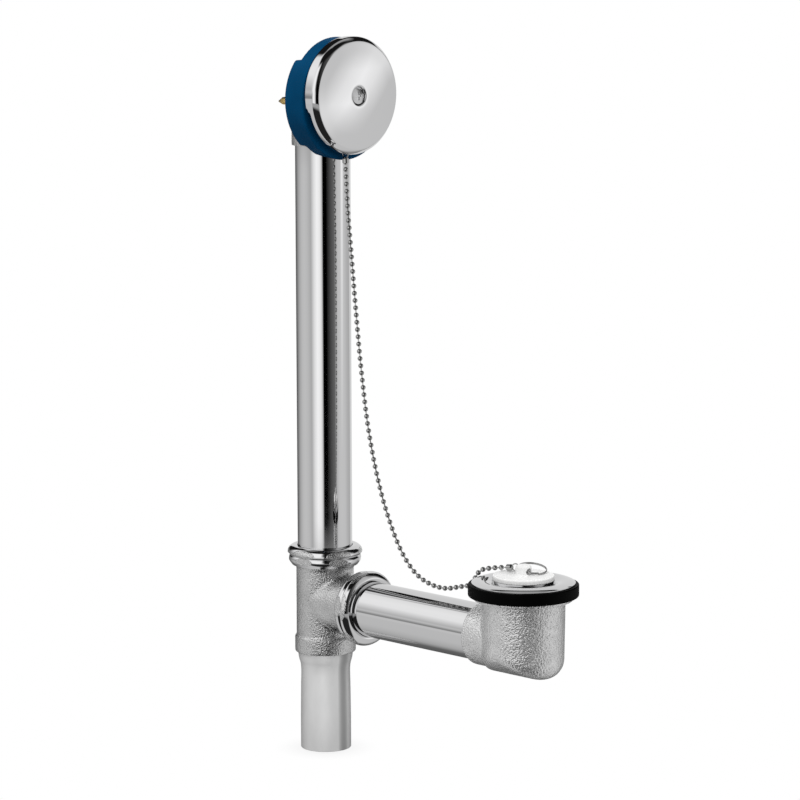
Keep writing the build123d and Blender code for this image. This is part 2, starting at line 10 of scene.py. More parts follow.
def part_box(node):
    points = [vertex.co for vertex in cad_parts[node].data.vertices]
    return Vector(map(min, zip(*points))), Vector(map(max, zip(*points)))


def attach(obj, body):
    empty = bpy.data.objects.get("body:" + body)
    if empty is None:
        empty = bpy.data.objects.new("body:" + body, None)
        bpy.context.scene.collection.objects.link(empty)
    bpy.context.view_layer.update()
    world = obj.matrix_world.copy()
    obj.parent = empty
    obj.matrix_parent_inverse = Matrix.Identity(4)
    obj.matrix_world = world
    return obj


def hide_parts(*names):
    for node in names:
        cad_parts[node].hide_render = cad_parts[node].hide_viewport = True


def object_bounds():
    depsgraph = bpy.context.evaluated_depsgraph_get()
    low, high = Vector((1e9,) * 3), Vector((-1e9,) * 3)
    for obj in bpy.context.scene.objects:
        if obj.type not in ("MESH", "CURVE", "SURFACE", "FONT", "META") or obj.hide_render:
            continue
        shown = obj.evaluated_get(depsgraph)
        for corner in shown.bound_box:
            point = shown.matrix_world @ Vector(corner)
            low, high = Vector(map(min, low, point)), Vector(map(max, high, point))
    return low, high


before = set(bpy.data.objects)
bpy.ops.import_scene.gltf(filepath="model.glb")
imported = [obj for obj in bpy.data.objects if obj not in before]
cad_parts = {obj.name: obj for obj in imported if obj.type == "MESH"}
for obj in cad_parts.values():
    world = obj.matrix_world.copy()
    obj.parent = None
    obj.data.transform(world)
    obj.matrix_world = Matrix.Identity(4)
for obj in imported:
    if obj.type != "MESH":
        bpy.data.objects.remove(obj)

bl_info = {
    "name": "Bath Waste and Overflow",
    "version": (1, 0, 0),
    "blender": (4, 5, 0),
    "location": "View3D > Sidebar > Bath Waste",
    "description": "Dresses a chain-and-stopper bath waste and overflow over its CAD frame",
    "category": "Add Mesh",
}

CAD_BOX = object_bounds()
MM = 0.001
BODY = "root"
UP = Vector((0, 0, 1))
AHEAD = Vector((1, 0, 0))
SIDE = Vector((0, 1, 0))
# Edges sharper than this are shaded as edges
SHARP_ANGLE = math.radians(32)


def low(node):
    """Lowest corner of a CAD node."""
    return Vector(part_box(node)[0])


def high(node):
    """Highest corner of a CAD node."""
    return Vector(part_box(node)[1])


def middle(node):
    """Centre of a CAD node's box."""
    return (low(node) + high(node)) / 2


class WasteSizes(bpy.types.PropertyGroup):
    """Sizes of the dressed pieces."""

    tube_wall: FloatProperty(
        name="Tube wall",
        description="Wall of the two straight tubes",
        default=1.2 * MM,
        unit="LENGTH",
    )
    nut_flat: FloatProperty(
        name="Nut flat",
        description="Slip nut's axis to a wrench flat",
        default=24.45 * MM,
        unit="LENGTH",
    )
    bead: FloatProperty(
        name="Bead",
        description="Diameter of a chain bead",
        default=3.5 * MM,
        unit="LENGTH",
    )
    pitch: FloatProperty(
        name="Bead pitch",
        description="Distance between neighbouring beads",
        default=5.0 * MM,
        unit="LENGTH",
    )
    pin: FloatProperty(
        name="Chain pin",
        description="Diameter of the pins between beads",
        default=0.9 * MM,
        unit="LENGTH",
    )
    ring: FloatProperty(
        name="Ring",
        description="Diameter of the stopper's ring at the middle of its wire",
        default=19.3 * MM,
        unit="LENGTH",
    )
    ring_wire: FloatProperty(
        name="Ring wire",
        description="Wire of the stopper's split ring",
        default=0.72 * MM,
        unit="LENGTH",
    )
    ring_turns: IntProperty(
        name="Ring turns",
        description="Turns of wire in the split ring",
        default=2,
    )
    thread_pitch: FloatProperty(
        name="Thread pitch",
        description="Pitch of the faceplate screw's thread",
        default=1.25 * MM,
        unit="LENGTH",
    )
    cast_voxel: FloatProperty(
        name="Cast voxel",
        description="Voxel size that softens the castings",
        default=0.6 * MM,
        unit="LENGTH",
    )
    cast_waves: FloatProperty(
        name="Cast waves",
        description="Height of the unevenness of a casting",
        default=0.12 * MM,
        unit="LENGTH",
    )
    round_steps: IntProperty(
        name="Round steps",
        description="Segments round a turned piece",
        default=192,
    )


class WasteColours(bpy.types.PropertyGroup):
    """Colours of the finishes."""

    chrome: FloatVectorProperty(
        name="Chrome",
        description="Polished plate",
        subtype="COLOR",
        default=(0.70, 0.70, 0.705),
    )
    casting: FloatVectorProperty(
        name="Casting",
        description="Rough-plated castings",
        subtype="COLOR",
        default=(0.64, 0.64, 0.64),
    )
    shoe: FloatVectorProperty(
        name="Shoe",
        description="Coarse skin of the drain shoe",
        subtype="COLOR",
        default=(0.79, 0.79, 0.79),
    )
    chain: FloatVectorProperty(
        name="Chain",
        description="Nickel of the ball chain",
        subtype="COLOR",
        default=(0.43, 0.43, 0.425),
    )
    gasket: FloatVectorProperty(
        name="Gasket",
        description="Blue overflow gasket",
        subtype="COLOR",
        default=(0.0, 0.048, 0.125),
    )
    washer: FloatVectorProperty(
        name="Washer",
        description="Black rubber",
        subtype="COLOR",
        default=(0.001, 0.001, 0.001),
    )
    tail: FloatVectorProperty(
        name="Tailpiece",
        description="Satin tube of the outlet",
        subtype="COLOR",
        default=(0.5, 0.5, 0.5),
    )
    stopper: FloatVectorProperty(
        name="Stopper",
        description="White rubber",
        subtype="COLOR",
        default=(0.88, 0.88, 0.875),
    )
    brass: FloatVectorProperty(
        name="Brass",
        description="Yellow brass of the screw",
        subtype="COLOR",
        default=(0.72, 0.52, 0.2),
    )


def sizes():
    """Sizes of the scene."""
    return bpy.context.scene.waste_sizes


def colours():
    """Colours of the scene."""
    return bpy.context.scene.waste_colours


def grey(level):
    """Colour of one level in all its parts."""
    return (level, level, level)


# Shader node groups that several finishes share

# Middle of a noise's range, which the finishes spread out
NOISE_SPAN = (0.3, 0.7)
# Scale of the pits in a casting's skin against the scale of its grain
FLECK_SHARE = 0.8
# Heights of the reliefs
HAIRLINE_DEPTH = 0.05 * MM
DRAWING_DEPTH = 0.08 * MM
WEAR_DEPTH = 0.1 * MM
RUBBER_DEPTH = 0.15 * MM
GRAIN_DEPTH = 0.3 * MM


def shader_group(name, inputs, outputs):
    """Start a node group with float inputs and outputs; returns the tree and its two end nodes."""
    group = bpy.data.node_groups.new(name, "ShaderNodeTree")
    for label, value in inputs:
        socket = group.interface.new_socket(label, in_out="INPUT", socket_type="NodeSocketFloat")
        socket.default_value = value
    for label in outputs:
        group.interface.new_socket(label, in_out="OUTPUT", socket_type="NodeSocketFloat")
    return group, group.nodes.new("NodeGroupInput"), group.nodes.new("NodeGroupOutput")


def noise_node(tree, vector, scale, detail):
    """Noise over a vector."""
    node = tree.nodes.new("ShaderNodeTexNoise")
    node.inputs["Scale"].default_value = scale
    node.inputs["Detail"].default_value = detail
    tree.links.new(vector, node.inputs["Vector"])
    return node


def math_node(tree, operation, first, second=0):
    """Number worked out from two numbers or sockets."""
    node = tree.nodes.new("ShaderNodeMath")
    node.operation = operation
    for socket, value in zip(node.inputs, (first, second)):
        if isinstance(value, (int, float)):
            socket.default_value = value
        else:
            tree.links.new(value, socket)
    return node.outputs[0]


def range_node(tree, value, low_in, high_in, low_out, high_out):
    """Number that goes from one output to the other between two inputs and stays there."""
    node = tree.nodes.new("ShaderNodeMapRange")
    tree.links.new(value, node.inputs["Value"])
    for label, number in (
        ("From Min", low_in),
        ("From Max", high_in),
        ("To Min", low_out),
        ("To Max", high_out),
    ):
        node.inputs[label].default_value = number
    return node.outputs["Result"]


def place(tree, scale=(1, 1, 1), centre=(0, 0, 0)):
    """Object coordinates, measured from a centre and stretched by a scale."""
    coord = tree.nodes.new("ShaderNodeTexCoord")
    mapping = tree.nodes.new("ShaderNodeMapping")
    mapping.inputs["Location"].default_value = [-c * s for c, s in zip(centre, scale)]
    mapping.inputs["Scale"].default_value = scale
    tree.links.new(coord.outputs["Object"], mapping.inputs["Vector"])
    return mapping.outputs["Vector"]


def dot_node(tree, vector, direction):
    """Length of a vector along a direction."""
    node = tree.nodes.new("ShaderNodeVectorMath")
    node.operation = "DOT_PRODUCT"
    tree.links.new(vector, node.inputs[0])
    node.inputs[1].default_value = direction
    return node.outputs["Value"]


def colour_mix(tree, share, first, second):
    """Colour that goes from the first to the second as the share grows."""
    node = tree.nodes.new("ShaderNodeMix")
    node.data_type = "RGBA"
    factor, start, end = node.inputs[0], node.inputs[6], node.inputs[7]
    tree.links.new(share, factor)
    for socket, value in ((start, first), (end, second)):
        if isinstance(value, bpy.types.NodeSocket):
            tree.links.new(value, socket)
        else:
            socket.default_value = (*value, 1)
    return node.outputs[2]


def value_mix(tree, share, first, second):
    """Number that goes from the first to the second as the share grows."""
    node = tree.nodes.new("ShaderNodeMix")
    for socket, value in zip(node.inputs[:1] + node.inputs[2:4], (share, first, second)):
        tree.links.new(value, socket)
    return node.outputs[0]


def from_noise(tree, noise, low_out, high_out):
    """Number that follows a noise over the middle of its range."""
    return range_node(tree, noise.outputs["Fac"], *NOISE_SPAN, low_out, high_out)


def level_ramp(tree, value, stops):
    """Brightness that follows a list of (value, level) stops."""
    first = stops[0][0]
    last = stops[-1][0]
    ramp = tree.nodes.new("ShaderNodeValToRGB")
    tree.links.new(range_node(tree, value, first, last, 0, 1), ramp.inputs["Fac"])
    elements = ramp.color_ramp.elements
    elements.remove(elements[-1])
    for number, (spot, level) in enumerate(stops):
        share = (spot - first) / (last - first)
        element = elements[0] if number == 0 else elements.new(share)
        element.position = share
        element.color = (*grey(level), 1)
    return ramp.outputs["Color"]


def polish_group():
    """Faint haze and hairlines of a buffed surface: a roughness and a height."""
    group, ends_in, ends_out = shader_group(
        "buffed_polish", (("Gloss", 0.04), ("Haze", 0.05)), ("Roughness", "Height")
    )
    haze = noise_node(group, place(group), scale=90, detail=3)
    hairline = noise_node(group, place(group, (1, 1, 0.05)), scale=900, detail=2)
    spread = range_node(group, haze.outputs["Fac"], 0.35, 0.75, 0, 1)
    scaled = math_node(group, "MULTIPLY", spread, ends_in.outputs["Haze"])
    gloss = math_node(group, "ADD", scaled, ends_in.outputs["Gloss"])
    group.links.new(gloss, ends_out.inputs["Roughness"])
    group.links.new(hairline.outputs["Fac"], ends_out.inputs["Height"])
    return group


def grain_group():
    """Sand-cast grain: a tone, a roughness and a height."""
    group, ends_in, ends_out = shader_group(
        "cast_grain", (("Grain", 1100.0),), ("Tone", "Roughness", "Height")
    )
    vector = place(group)
    fine = noise_node(group, vector, scale=1100, detail=2)
    group.links.new(ends_in.outputs["Grain"], fine.inputs["Scale"])
    broad = noise_node(group, vector, scale=120, detail=3)
    fleck = group.nodes.new("ShaderNodeTexVoronoi")
    fleck.feature = "SMOOTH_F1"
    group.links.new(vector, fleck.inputs["Vector"])
    flecks = math_node(group, "MULTIPLY", ends_in.outputs["Grain"], FLECK_SHARE)
    group.links.new(flecks, fleck.inputs["Scale"])
    pits = range_node(group, fleck.outputs["Distance"], 0.0, 0.6, 0, 0.7)
    grain = math_node(group, "ADD", fine.outputs["Fac"], pits)
    group.links.new(from_noise(group, broad, 0.9, 1.05), ends_out.inputs["Tone"])
    group.links.new(from_noise(group, fine, 0.16, 0.28), ends_out.inputs["Roughness"])
    group.links.new(grain, ends_out.inputs["Height"])
    return group


def rubber_group():
    """Moulded rubber skin: a tone, a roughness and a height."""
    group, ends_in, ends_out = shader_group(
        "rubber_skin", (("Texture", 700.0), ("Bloom", 0.2)), ("Tone", "Roughness", "Height")
    )
    vector = place(group)
    skin = noise_node(group, vector, scale=700, detail=3)
    group.links.new(ends_in.outputs["Texture"], skin.inputs["Scale"])
    cloud = noise_node(group, vector, scale=60, detail=4)
    bloom = range_node(group, cloud.outputs["Fac"], 0.35, 0.7, 0, 1)
    patches = math_node(group, "MULTIPLY", bloom, ends_in.outputs["Bloom"])
    group.links.new(math_node(group, "ADD", patches, 0.9), ends_out.inputs["Tone"])
    group.links.new(from_noise(group, skin, 0.42, 0.58), ends_out.inputs["Roughness"])
    group.links.new(skin.outputs["Fac"], ends_out.inputs["Height"])
    return group


def group_named(name, maker):
    """A node group, made on its first use."""
    return bpy.data.node_groups.get(name) or maker()


# Finishes


def start_finish(name):
    """New material, its tree and its shader."""
    material = bpy.data.materials.new(name)
    material.use_nodes = True
    return material, material.node_tree, material.node_tree.nodes["Principled BSDF"]


def use_group(tree, group, **values):
    """Put a node group in a tree with values of its own."""
    node = tree.nodes.new("ShaderNodeGroup")
    node.node_tree = group
    for label, value in values.items():
        node.inputs[label].default_value = value
    return node


def bump(tree, shader, height, strength, distance):
    """Fine relief of a shader."""
    node = tree.nodes.new("ShaderNodeBump")
    node.inputs["Strength"].default_value = strength
    node.inputs["Distance"].default_value = distance
    tree.links.new(height, node.inputs["Height"])
    tree.links.new(node.outputs["Normal"], shader.inputs["Normal"])


def toned(tree, shader, colour, tone):
    """Multiply a flat colour by a tone that changes over the surface."""
    mix = tree.nodes.new("ShaderNodeVectorMath")
    mix.operation = "SCALE"
    mix.inputs[0].default_value = colour
    tree.links.new(tone, mix.inputs["Scale"])
    tree.links.new(mix.outputs["Vector"], shader.inputs["Base Color"])


def polished(name, colour, gloss, haze):
    """Buffed plate with a faint haze."""
    material, tree, shader = start_finish(name)
    marks = use_group(tree, group_named("buffed_polish", polish_group), Gloss=gloss, Haze=haze)
    shader.inputs["Base Color"].default_value = (*colour, 1)
    shader.inputs["Metallic"].default_value = 1
    tree.links.new(marks.outputs["Roughness"], shader.inputs["Roughness"])
    bump(tree, shader, marks.outputs["Height"], 0.02, HAIRLINE_DEPTH)
    return material


def rough_cast(name, colour, grain, strength, metal=1.0):
    """Rough-plated casting; the coarser its skin, the less of it mirrors."""
    material, tree, shader = start_finish(name)
    sand = use_group(tree, group_named("cast_grain", grain_group), Grain=grain)
    toned(tree, shader, colour, sand.outputs["Tone"])
    shader.inputs["Metallic"].default_value = metal
    tree.links.new(sand.outputs["Roughness"], shader.inputs["Roughness"])
    bump(tree, shader, sand.outputs["Height"], strength, GRAIN_DEPTH)
    return material


# Turn in degrees of each slip nut's wrench flats about its axis
TOP_NUT_TURN = -21.5
BRANCH_NUT_TURN = -10.0
# Raggedness of the border between a nut's polish and its rough flats
FLAT_EDGE = 0.12 * MM


def flatted_nut(name, node, first, second, turn):
    """Polished nut whose wrench flats keep the rough skin of the casting."""
    material, tree, shader = start_finish(name)
    vector = place(tree, centre=middle(node))
    reach = None
    for number in range(3):
        angle = math.radians(turn + 60 * number)
        outward = first * math.cos(angle) + second * math.sin(angle)
        across = math_node(tree, "ABSOLUTE", dot_node(tree, vector, outward))
        reach = across if reach is None else math_node(tree, "MAXIMUM", reach, across)
    ragged = noise_node(tree, place(tree), scale=700, detail=3)
    edge = math_node(tree, "MULTIPLY", ragged.outputs["Fac"], FLAT_EDGE)
    worn = math_node(tree, "ADD", reach, edge)
    flat = sizes().nut_flat
    rough = range_node(tree, worn, flat - 0.02 * MM, flat + 0.05 * MM, 0, 1)
    sand = use_group(tree, group_named("cast_grain", grain_group), Grain=1300.0)
    marks = use_group(tree, group_named("buffed_polish", polish_group), Gloss=0.03, Haze=0.03)
    shader.inputs["Metallic"].default_value = 1
    tint = colours()
    tree.links.new(colour_mix(tree, rough, tint.chrome, tint.casting), shader.inputs["Base Color"])
    tree.links.new(
        value_mix(tree, rough, marks.outputs["Roughness"], sand.outputs["Roughness"]),
        shader.inputs["Roughness"],
    )
    relief = math_node(tree, "MULTIPLY", sand.outputs["Height"], rough)
    bump(tree, shader, relief, 0.9, GRAIN_DEPTH)
    return material


def rubber(name, colour, texture, bloom, strength, sheen):
    """Moulded rubber with a bloom in patches."""
    material, tree, shader = start_finish(name)
    skin = use_group(tree, group_named("rubber_skin", rubber_group), Texture=texture, Bloom=bloom)
    toned(tree, shader, colour, skin.outputs["Tone"])
    shader.inputs["Specular IOR Level"].default_value = sheen
    tree.links.new(skin.outputs["Roughness"], shader.inputs["Roughness"])
    bump(tree, shader, skin.outputs["Height"], strength, RUBBER_DEPTH)
    return material


# How squarely the tailpiece's side faces ahead at the edge and in the middle of its stripe of
# painted dark reflection down one side, and the tone there
PAINTED_REFLECTION_SPAN = (0.965, 0.999)
PAINTED_REFLECTION_TONE = 0.5


def drawn_tube(name, colour):
    """Satin tube with faint lengthwise drawing marks and a painted dark reflection in a stripe down
    one side.
    """
    material, tree, shader = start_finish(name)
    marks = noise_node(tree, place(tree, (1, 1, 0.02)), scale=1400, detail=3)
    cloud = noise_node(tree, place(tree, (1, 1, 0.35)), scale=70, detail=3)
    outward = tree.nodes.new("ShaderNodeVectorMath")
    outward.operation = "NORMALIZE"
    tree.links.new(place(tree, (1, 1, 0), middle("tailpiece")), outward.inputs[0])
    facing = dot_node(tree, outward.outputs["Vector"], AHEAD)
    # Painted dark reflection: the colour darkens in a stripe where the side faces nearly straight
    # ahead
    painted_reflection = range_node(tree, facing, *PAINTED_REFLECTION_SPAN, 1.0, PAINTED_REFLECTION_TONE)
    clouds = from_noise(tree, cloud, 0.92, 1.05)
    toned(tree, shader, colour, math_node(tree, "MULTIPLY", clouds, painted_reflection))
    shader.inputs["Metallic"].default_value = 0.3
    tree.links.new(from_noise(tree, marks, 0.4, 0.5), shader.inputs["Roughness"])
    bump(tree, shader, marks.outputs["Fac"], 0.12, DRAWING_DEPTH)
    return material


# Length of the screw that is plated, from its front, and the width of the plating's border
PLATED_HEAD = 4 * MM
PLATED_EDGE = 0.2 * MM


def plated_screw(name, chrome, brass):
    """Brass shank with a plated head in front."""
    material, tree, shader = start_finish(name)
    split = tree.nodes.new("ShaderNodeSeparateXYZ")
    tree.links.new(place(tree), split.inputs["Vector"])
    edge = high("faceplate_screw").x - PLATED_HEAD
    plated = range_node(tree, split.outputs["X"], edge - PLATED_EDGE, edge, 0, 1)
    tree.links.new(colour_mix(tree, plated, brass, chrome), shader.inputs["Base Color"])
    shader.inputs["Metallic"].default_value = 1
    wear = noise_node(tree, place(tree), scale=300, detail=3)
    tree.links.new(from_noise(tree, wear, 0.1, 0.28), shader.inputs["Roughness"])
    bump(tree, shader, wear.outputs["Fac"], 0.15, WEAR_DEPTH)
    return material


def finish(slot):
    """The finish of a slot, made on its first use, with a name that the frame doesn't use."""
    name = "dressed_" + slot
    made = bpy.data.materials.get(name)
    if made:
        return made
    tint = colours()
    makers = {
        "bright_chrome": lambda: polished(name, tint.chrome, gloss=0.03, haze=0.03),
        "chain_nickel": lambda: polished(name, tint.chain, gloss=0.02, haze=0.02),
        "top_nut_chrome": lambda: flatted_nut(
            name, "top_slip_nut", AHEAD, SIDE, TOP_NUT_TURN
        ),
        "branch_nut_chrome": lambda: flatted_nut(
            name, "branch_slip_nut", SIDE, UP, BRANCH_NUT_TURN
        ),
        "cast_metal": lambda: rough_cast(name, tint.casting, grain=1200.0, strength=1.0),
        "coarse_cast": lambda: rough_cast(
            name, tint.shoe, grain=1050.0, strength=1.3, metal=0.78
        ),
        "satin_tube": lambda: drawn_tube(name, tint.tail),
        "screw_brass": lambda: plated_screw(name, tint.chrome, tint.brass),
        "blue_rubber": lambda: rubber(
            name, tint.gasket, texture=500.0, bloom=0.2, strength=0.12, sheen=0.03
        ),
        "black_rubber": lambda: rubber(
            name, tint.washer, texture=900.0, bloom=0.4, strength=0.2, sheen=0.03
        ),
        "white_rubber": lambda: rubber(
            name, tint.stopper, texture=600.0, bloom=0.1, strength=0.06, sheen=0.4
        ),
    }
    return makers[slot]()


# Mesh helpers

# Distances under which the points of a turned shape and of a CAD mesh are joined
SEAM = 0.002 * MM
CAD_SEAM = 0.001 * MM
# Segments of a rounded corner of an outline
CORNER_STEPS = 8
# Width of the unevenness of a casting
WAVE_WIDTH = 5 * MM


def mesh_of(name, bm):
    """Mesh of a bmesh that isn't needed any more."""
    mesh = bpy.data.meshes.new(name)
    bm.to_mesh(mesh)
    bm.free()
    return mesh


def linked(name, data):
    """New object in the scene."""
    made = bpy.data.objects.new(name, data)
    bpy.context.scene.collection.objects.link(made)
    return made


def settle(name, mesh, finish_name, nodes, sharp=True):
    """Put a mesh on the body with its finish, and hide the CAD nodes that it stands for."""
    mesh.materials.clear()
    mesh.materials.append(finish(finish_name))
    mesh.shade_smooth()
    if sharp:
        mesh.set_sharp_from_angle(angle=SHARP_ANGLE)
    piece = linked(name, mesh)
    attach(piece, BODY)
    if nodes:
        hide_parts(*nodes)
    return piece


def outline(corners, origin, axis, out, closed=True):
    """Wire outline of a turned piece from (radius, height, rounding) corners in millimetres."""
    bm = bmesh.new()
    verts = [bm.verts.new(origin + out * (c[0] * MM) + axis * (c[1] * MM)) for c in corners]
    for first, second in zip(verts, verts[1:] + (verts[:1] if closed else [])):
        bm.edges.new((first, second))
    for vert, corner in zip(verts, corners):
        if len(corner) > 2:
            bmesh.ops.bevel(
                bm,
                geom=[vert],
                offset=corner[2] * MM,
                offset_type="OFFSET",
                segments=CORNER_STEPS,
                profile=0.5,
                affect="VERTICES",
                material=-1,
            )
    return bm


def close_up(bm):
    """Join the seams of a shape and point its faces outwards."""
    bmesh.ops.remove_doubles(bm, verts=bm.verts[:], dist=SEAM)
    bmesh.ops.recalc_face_normals(bm, faces=bm.faces[:])


def turned(corners, origin, axis, out, closed=True, steps=None):
    """Spin an outline right round its axis."""
    bm = outline(corners, origin, axis, out, closed)
    bmesh.ops.spin(
        bm,
        geom=bm.verts[:] + bm.edges[:],
        cent=origin,
        axis=axis,
        angle=2 * math.pi,
        steps=steps or sizes().round_steps,
        use_merge=True,
    )
    close_up(bm)
    return bm


def coiled(bm, centre, axis, pitch, turns, turn_steps):
    """Sweep a face along a helix."""
    steps = turn_steps * turns
    bmesh.ops.spin(
        bm,
        geom=bm.verts[:] + bm.edges[:] + bm.faces[:],
        cent=centre,
        axis=axis,
        dvec=axis * (pitch * turns / steps),
        angle=2 * math.pi * turns,
        steps=steps,
    )
    close_up(bm)


def merged_copy(node):
    """Copy of a CAD node's mesh with its loose triangles joined."""
    bm = bmesh.new()
    bm.from_mesh(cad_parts[node].data)
    bmesh.ops.remove_doubles(bm, verts=bm.verts[:], dist=CAD_SEAM)
    return bm


def softened(node, voxel, rounds, name, slot, waves=0.0, finish_name=None):
    """Give a copy of a CAD node the soft edges and unevenness of a casting or a moulding."""
    rough = linked(name + "_rough", mesh_of(name + "_rough", merged_copy(node)))
    remesh = rough.modifiers.new("remesh", "REMESH")
    remesh.mode = "VOXEL"
    remesh.voxel_size = voxel
    smooth = rough.modifiers.new("smooth", "SMOOTH")
    smooth.factor = 0.5
    smooth.iterations = rounds
    if waves:
        pattern = bpy.data.textures.new(name + "_waves", "CLOUDS")
        pattern.noise_scale = WAVE_WIDTH
        uneven = rough.modifiers.new("waves", "DISPLACE")
        uneven.texture = pattern
        uneven.texture_coords = "LOCAL"
        uneven.strength = waves
    evaluated = rough.evaluated_get(bpy.context.evaluated_depsgraph_get())
    soft = bpy.data.meshes.new_from_object(evaluated)
    soft.name = name
    bpy.data.objects.remove(rough)
    settle(name, soft, finish_name or slot, [node])


def dress(node, finish_name):
    """Give a CAD node that stays as it is a finish."""
    node_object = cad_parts[node]
    node_object.data.materials.clear()
    node_object.data.materials.append(finish(finish_name))


# Pieces and their operators

# Rounds of smoothing that soften the edges of a copy, and the finer voxel of the stopper
CAST_ROUNDS = 8
GASKET_ROUNDS = 6
STOPPER_ROUNDS = 4
STOPPER_VOXEL = 0.4 * MM

# Outside of the faceplate in millimetres from its axis and from its rim:
# skirt, shoulder, face and dimple
PLATE_PROFILE = (
    (40.0, 0.0), (40.0, 2.2), (40.0, 4.3), (40.0, 5.6), (40.0, 6.6), (39.88, 7.6), (39.5, 8.5),
    (38.7, 9.5), (37.75, 10.4), (37.05, 10.95), (36.85, 11.06), (36.5, 11.1),
    (33.0, 11.36), (28.0, 11.74), (22.0, 12.1), (16.0, 12.38), (10.0, 12.57), (7.4, 12.63),
    (6.7, 12.55), (6.3, 12.2), (6.2, 11.6), (6.1, 10.7), (5.8, 10.35), (5.2, 10.28), (2.9, 10.28),
)
PLATE_SHEET = 1.0
PLATE_STEPS = 96
# Depth of each step of the water inlet in the skirt, and where it starts below the axis
INLET_STEPS = ((2.2, 7.0), (4.3, 9.5))
CHAIN_HOLE = Vector((6.6, -5.9, -39.6))
CHAIN_HOLE_REACH = 1.45


def pressed_plate():
    """Faceplate pressed from sheet, its skirt cut back for the water and pierced for the chain."""
    node = "overflow_faceplate"
    origin = Vector((low(node).x, middle(node).y, middle(node).z))
    bm = turned(PLATE_PROFILE, origin, AHEAD, SIDE, closed=False, steps=PLATE_STEPS)
    gone = []
    for face in bm.faces:
        spot = (face.calc_center_median() - origin) / MM
        inlet = any(spot.x < depth and spot.z < -start for depth, start in INLET_STEPS)
        if inlet or (spot - CHAIN_HOLE).length < CHAIN_HOLE_REACH:
            gone.append(face)
    bmesh.ops.delete(bm, geom=gone, context="FACES")
    if sum(face.normal.x * face.calc_area() for face in bm.faces) < 0:
        bmesh.ops.reverse_faces(bm, faces=bm.faces[:])
    mesh = mesh_of("pressed_faceplate", bm)
    plate = settle("pressed_faceplate", mesh, "bright_chrome", [node], sharp=False)
    sheet = plate.modifiers.new("sheet", "SOLIDIFY")
    sheet.thickness = PLATE_SHEET * MM
    sheet.offset = -1
    curve = plate.modifiers.new("curve", "SUBSURF")
    curve.levels = 2
    curve.render_levels = 2


# Screw in millimetres: height of the plate's axis, how far the tip lies below it,
# and where the thread starts from the tip
PLATE_AXIS = 314.0
SCREW_DROP = 7.2
THREAD_START = 4.5
# Ridge of the thread: its radius, how far it goes below and above that, and its half width
# as a part of the pitch
THREAD_RADIUS = 2.4
THREAD_ROOT = 0.4
THREAD_CREST = 0.3
THREAD_FLANK = 0.42
THREAD_TURNS = 12
THREAD_STEPS = 24


def screw_thread():
    """Helical ridge of the thread on the screw's visible tip."""
    head = high("faceplate_screw")
    tip = low("faceplate_screw")
    along = Vector((head.x - tip.x, 0, SCREW_DROP * MM)).normalized()
    foot = Vector((tip.x, 0, PLATE_AXIS * MM - SCREW_DROP * MM)) + along * (THREAD_START * MM)
    out = along.cross(SIDE)
    pitch = sizes().thread_pitch
    radius = THREAD_RADIUS * MM
    bm = bmesh.new()
    root = radius - THREAD_ROOT * MM
    crest = radius + THREAD_CREST * MM
    corners = ((root, -THREAD_FLANK), (crest, 0), (root, THREAD_FLANK))
    verts = [bm.verts.new(foot + out * r + along * (pitch * share)) for r, share in corners]
    bm.faces.new(verts)
    coiled(bm, foot, along, pitch, THREAD_TURNS, THREAD_STEPS)
    settle("screw_thread", mesh_of("screw_thread", bm), "screw_brass", [])


class BATHWASTE_OT_overflow_head(bpy.types.Operator):
    """Faceplate, screw, gasket and elbow of the overflow"""

    bl_idname = "bathwaste.overflow_head"
    bl_label = "Overflow Head"

    def execute(self, context):
        voxel = sizes().cast_voxel
        waves = sizes().cast_waves
        softened("overflow_gasket", voxel, GASKET_ROUNDS, "gasket", "blue_rubber")
        softened("overflow_elbow", voxel, CAST_ROUNDS, "elbow_casting", "cast_metal", waves)
        dress("faceplate_screw", "screw_brass")
        pressed_plate()
        screw_thread()
        return {"FINISHED"}


# Tube's end in millimetres: its roundings outside and inside,
# and a loop near it that keeps the shading of the side straight
END_ROUND = 0.4
BORE_ROUND = 0.3
END_LOOP = 1.2


class BATHWASTE_OT_tubes(bpy.types.Operator):
    """Straight polished tubes with rounded ends"""

    bl_idname = "bathwaste.tubes"
    bl_label = "Tubes"

    def execute(self, context):
        wall = sizes().tube_wall / MM
        for node, axis, out in (("overflow_tube", UP, AHEAD), ("shoe_tube", AHEAD, SIDE)):
            span = high(node) - low(node)
            radius = span.y / 2 / MM
            half = span.dot(axis) / 2 / MM
            corners = [
                (radius - wall, -half, BORE_ROUND),
                (radius, -half, END_ROUND),
                (radius, END_LOOP - half),
                (radius, half - END_LOOP),
                (radius, half, END_ROUND),
                (radius - wall, half, BORE_ROUND),
            ]
            name = node.replace("_", "_polished_")
            mesh = mesh_of(name, turned(corners, middle(node), axis, out))
            settle(name, mesh, "bright_chrome", [node])
        return {"FINISHED"}


class BATHWASTE_OT_slip_joints(bpy.types.Operator):
    """Slip nuts and their washers"""

    bl_idname = "bathwaste.slip_joints"
    bl_label = "Slip Joints"

    def execute(self, context):
        dress("top_slip_nut", "top_nut_chrome")
        dress("branch_slip_nut", "branch_nut_chrome")
        dress("top_slip_washer", "black_rubber")
        dress("branch_slip_washer", "black_rubber")
        return {"FINISHED"}


# Tailpiece in millimetres: heights of the band under the tee and of the neck below it,
# length of the straight outlet, radii, and roundings
TAIL_BAND = 4.2
TAIL_NECK = 5.4
TAIL_SPIGOT = 34.0
TAIL_NECK_RADIUS = 16.95
TAIL_RADIUS = 17.6
TAIL_BAND_ROUND = 3.0
TAIL_NECK_ROUND = 6.0
TAIL_SPIGOT_ROUND = 12.0
TAIL_END_ROUND = 0.5


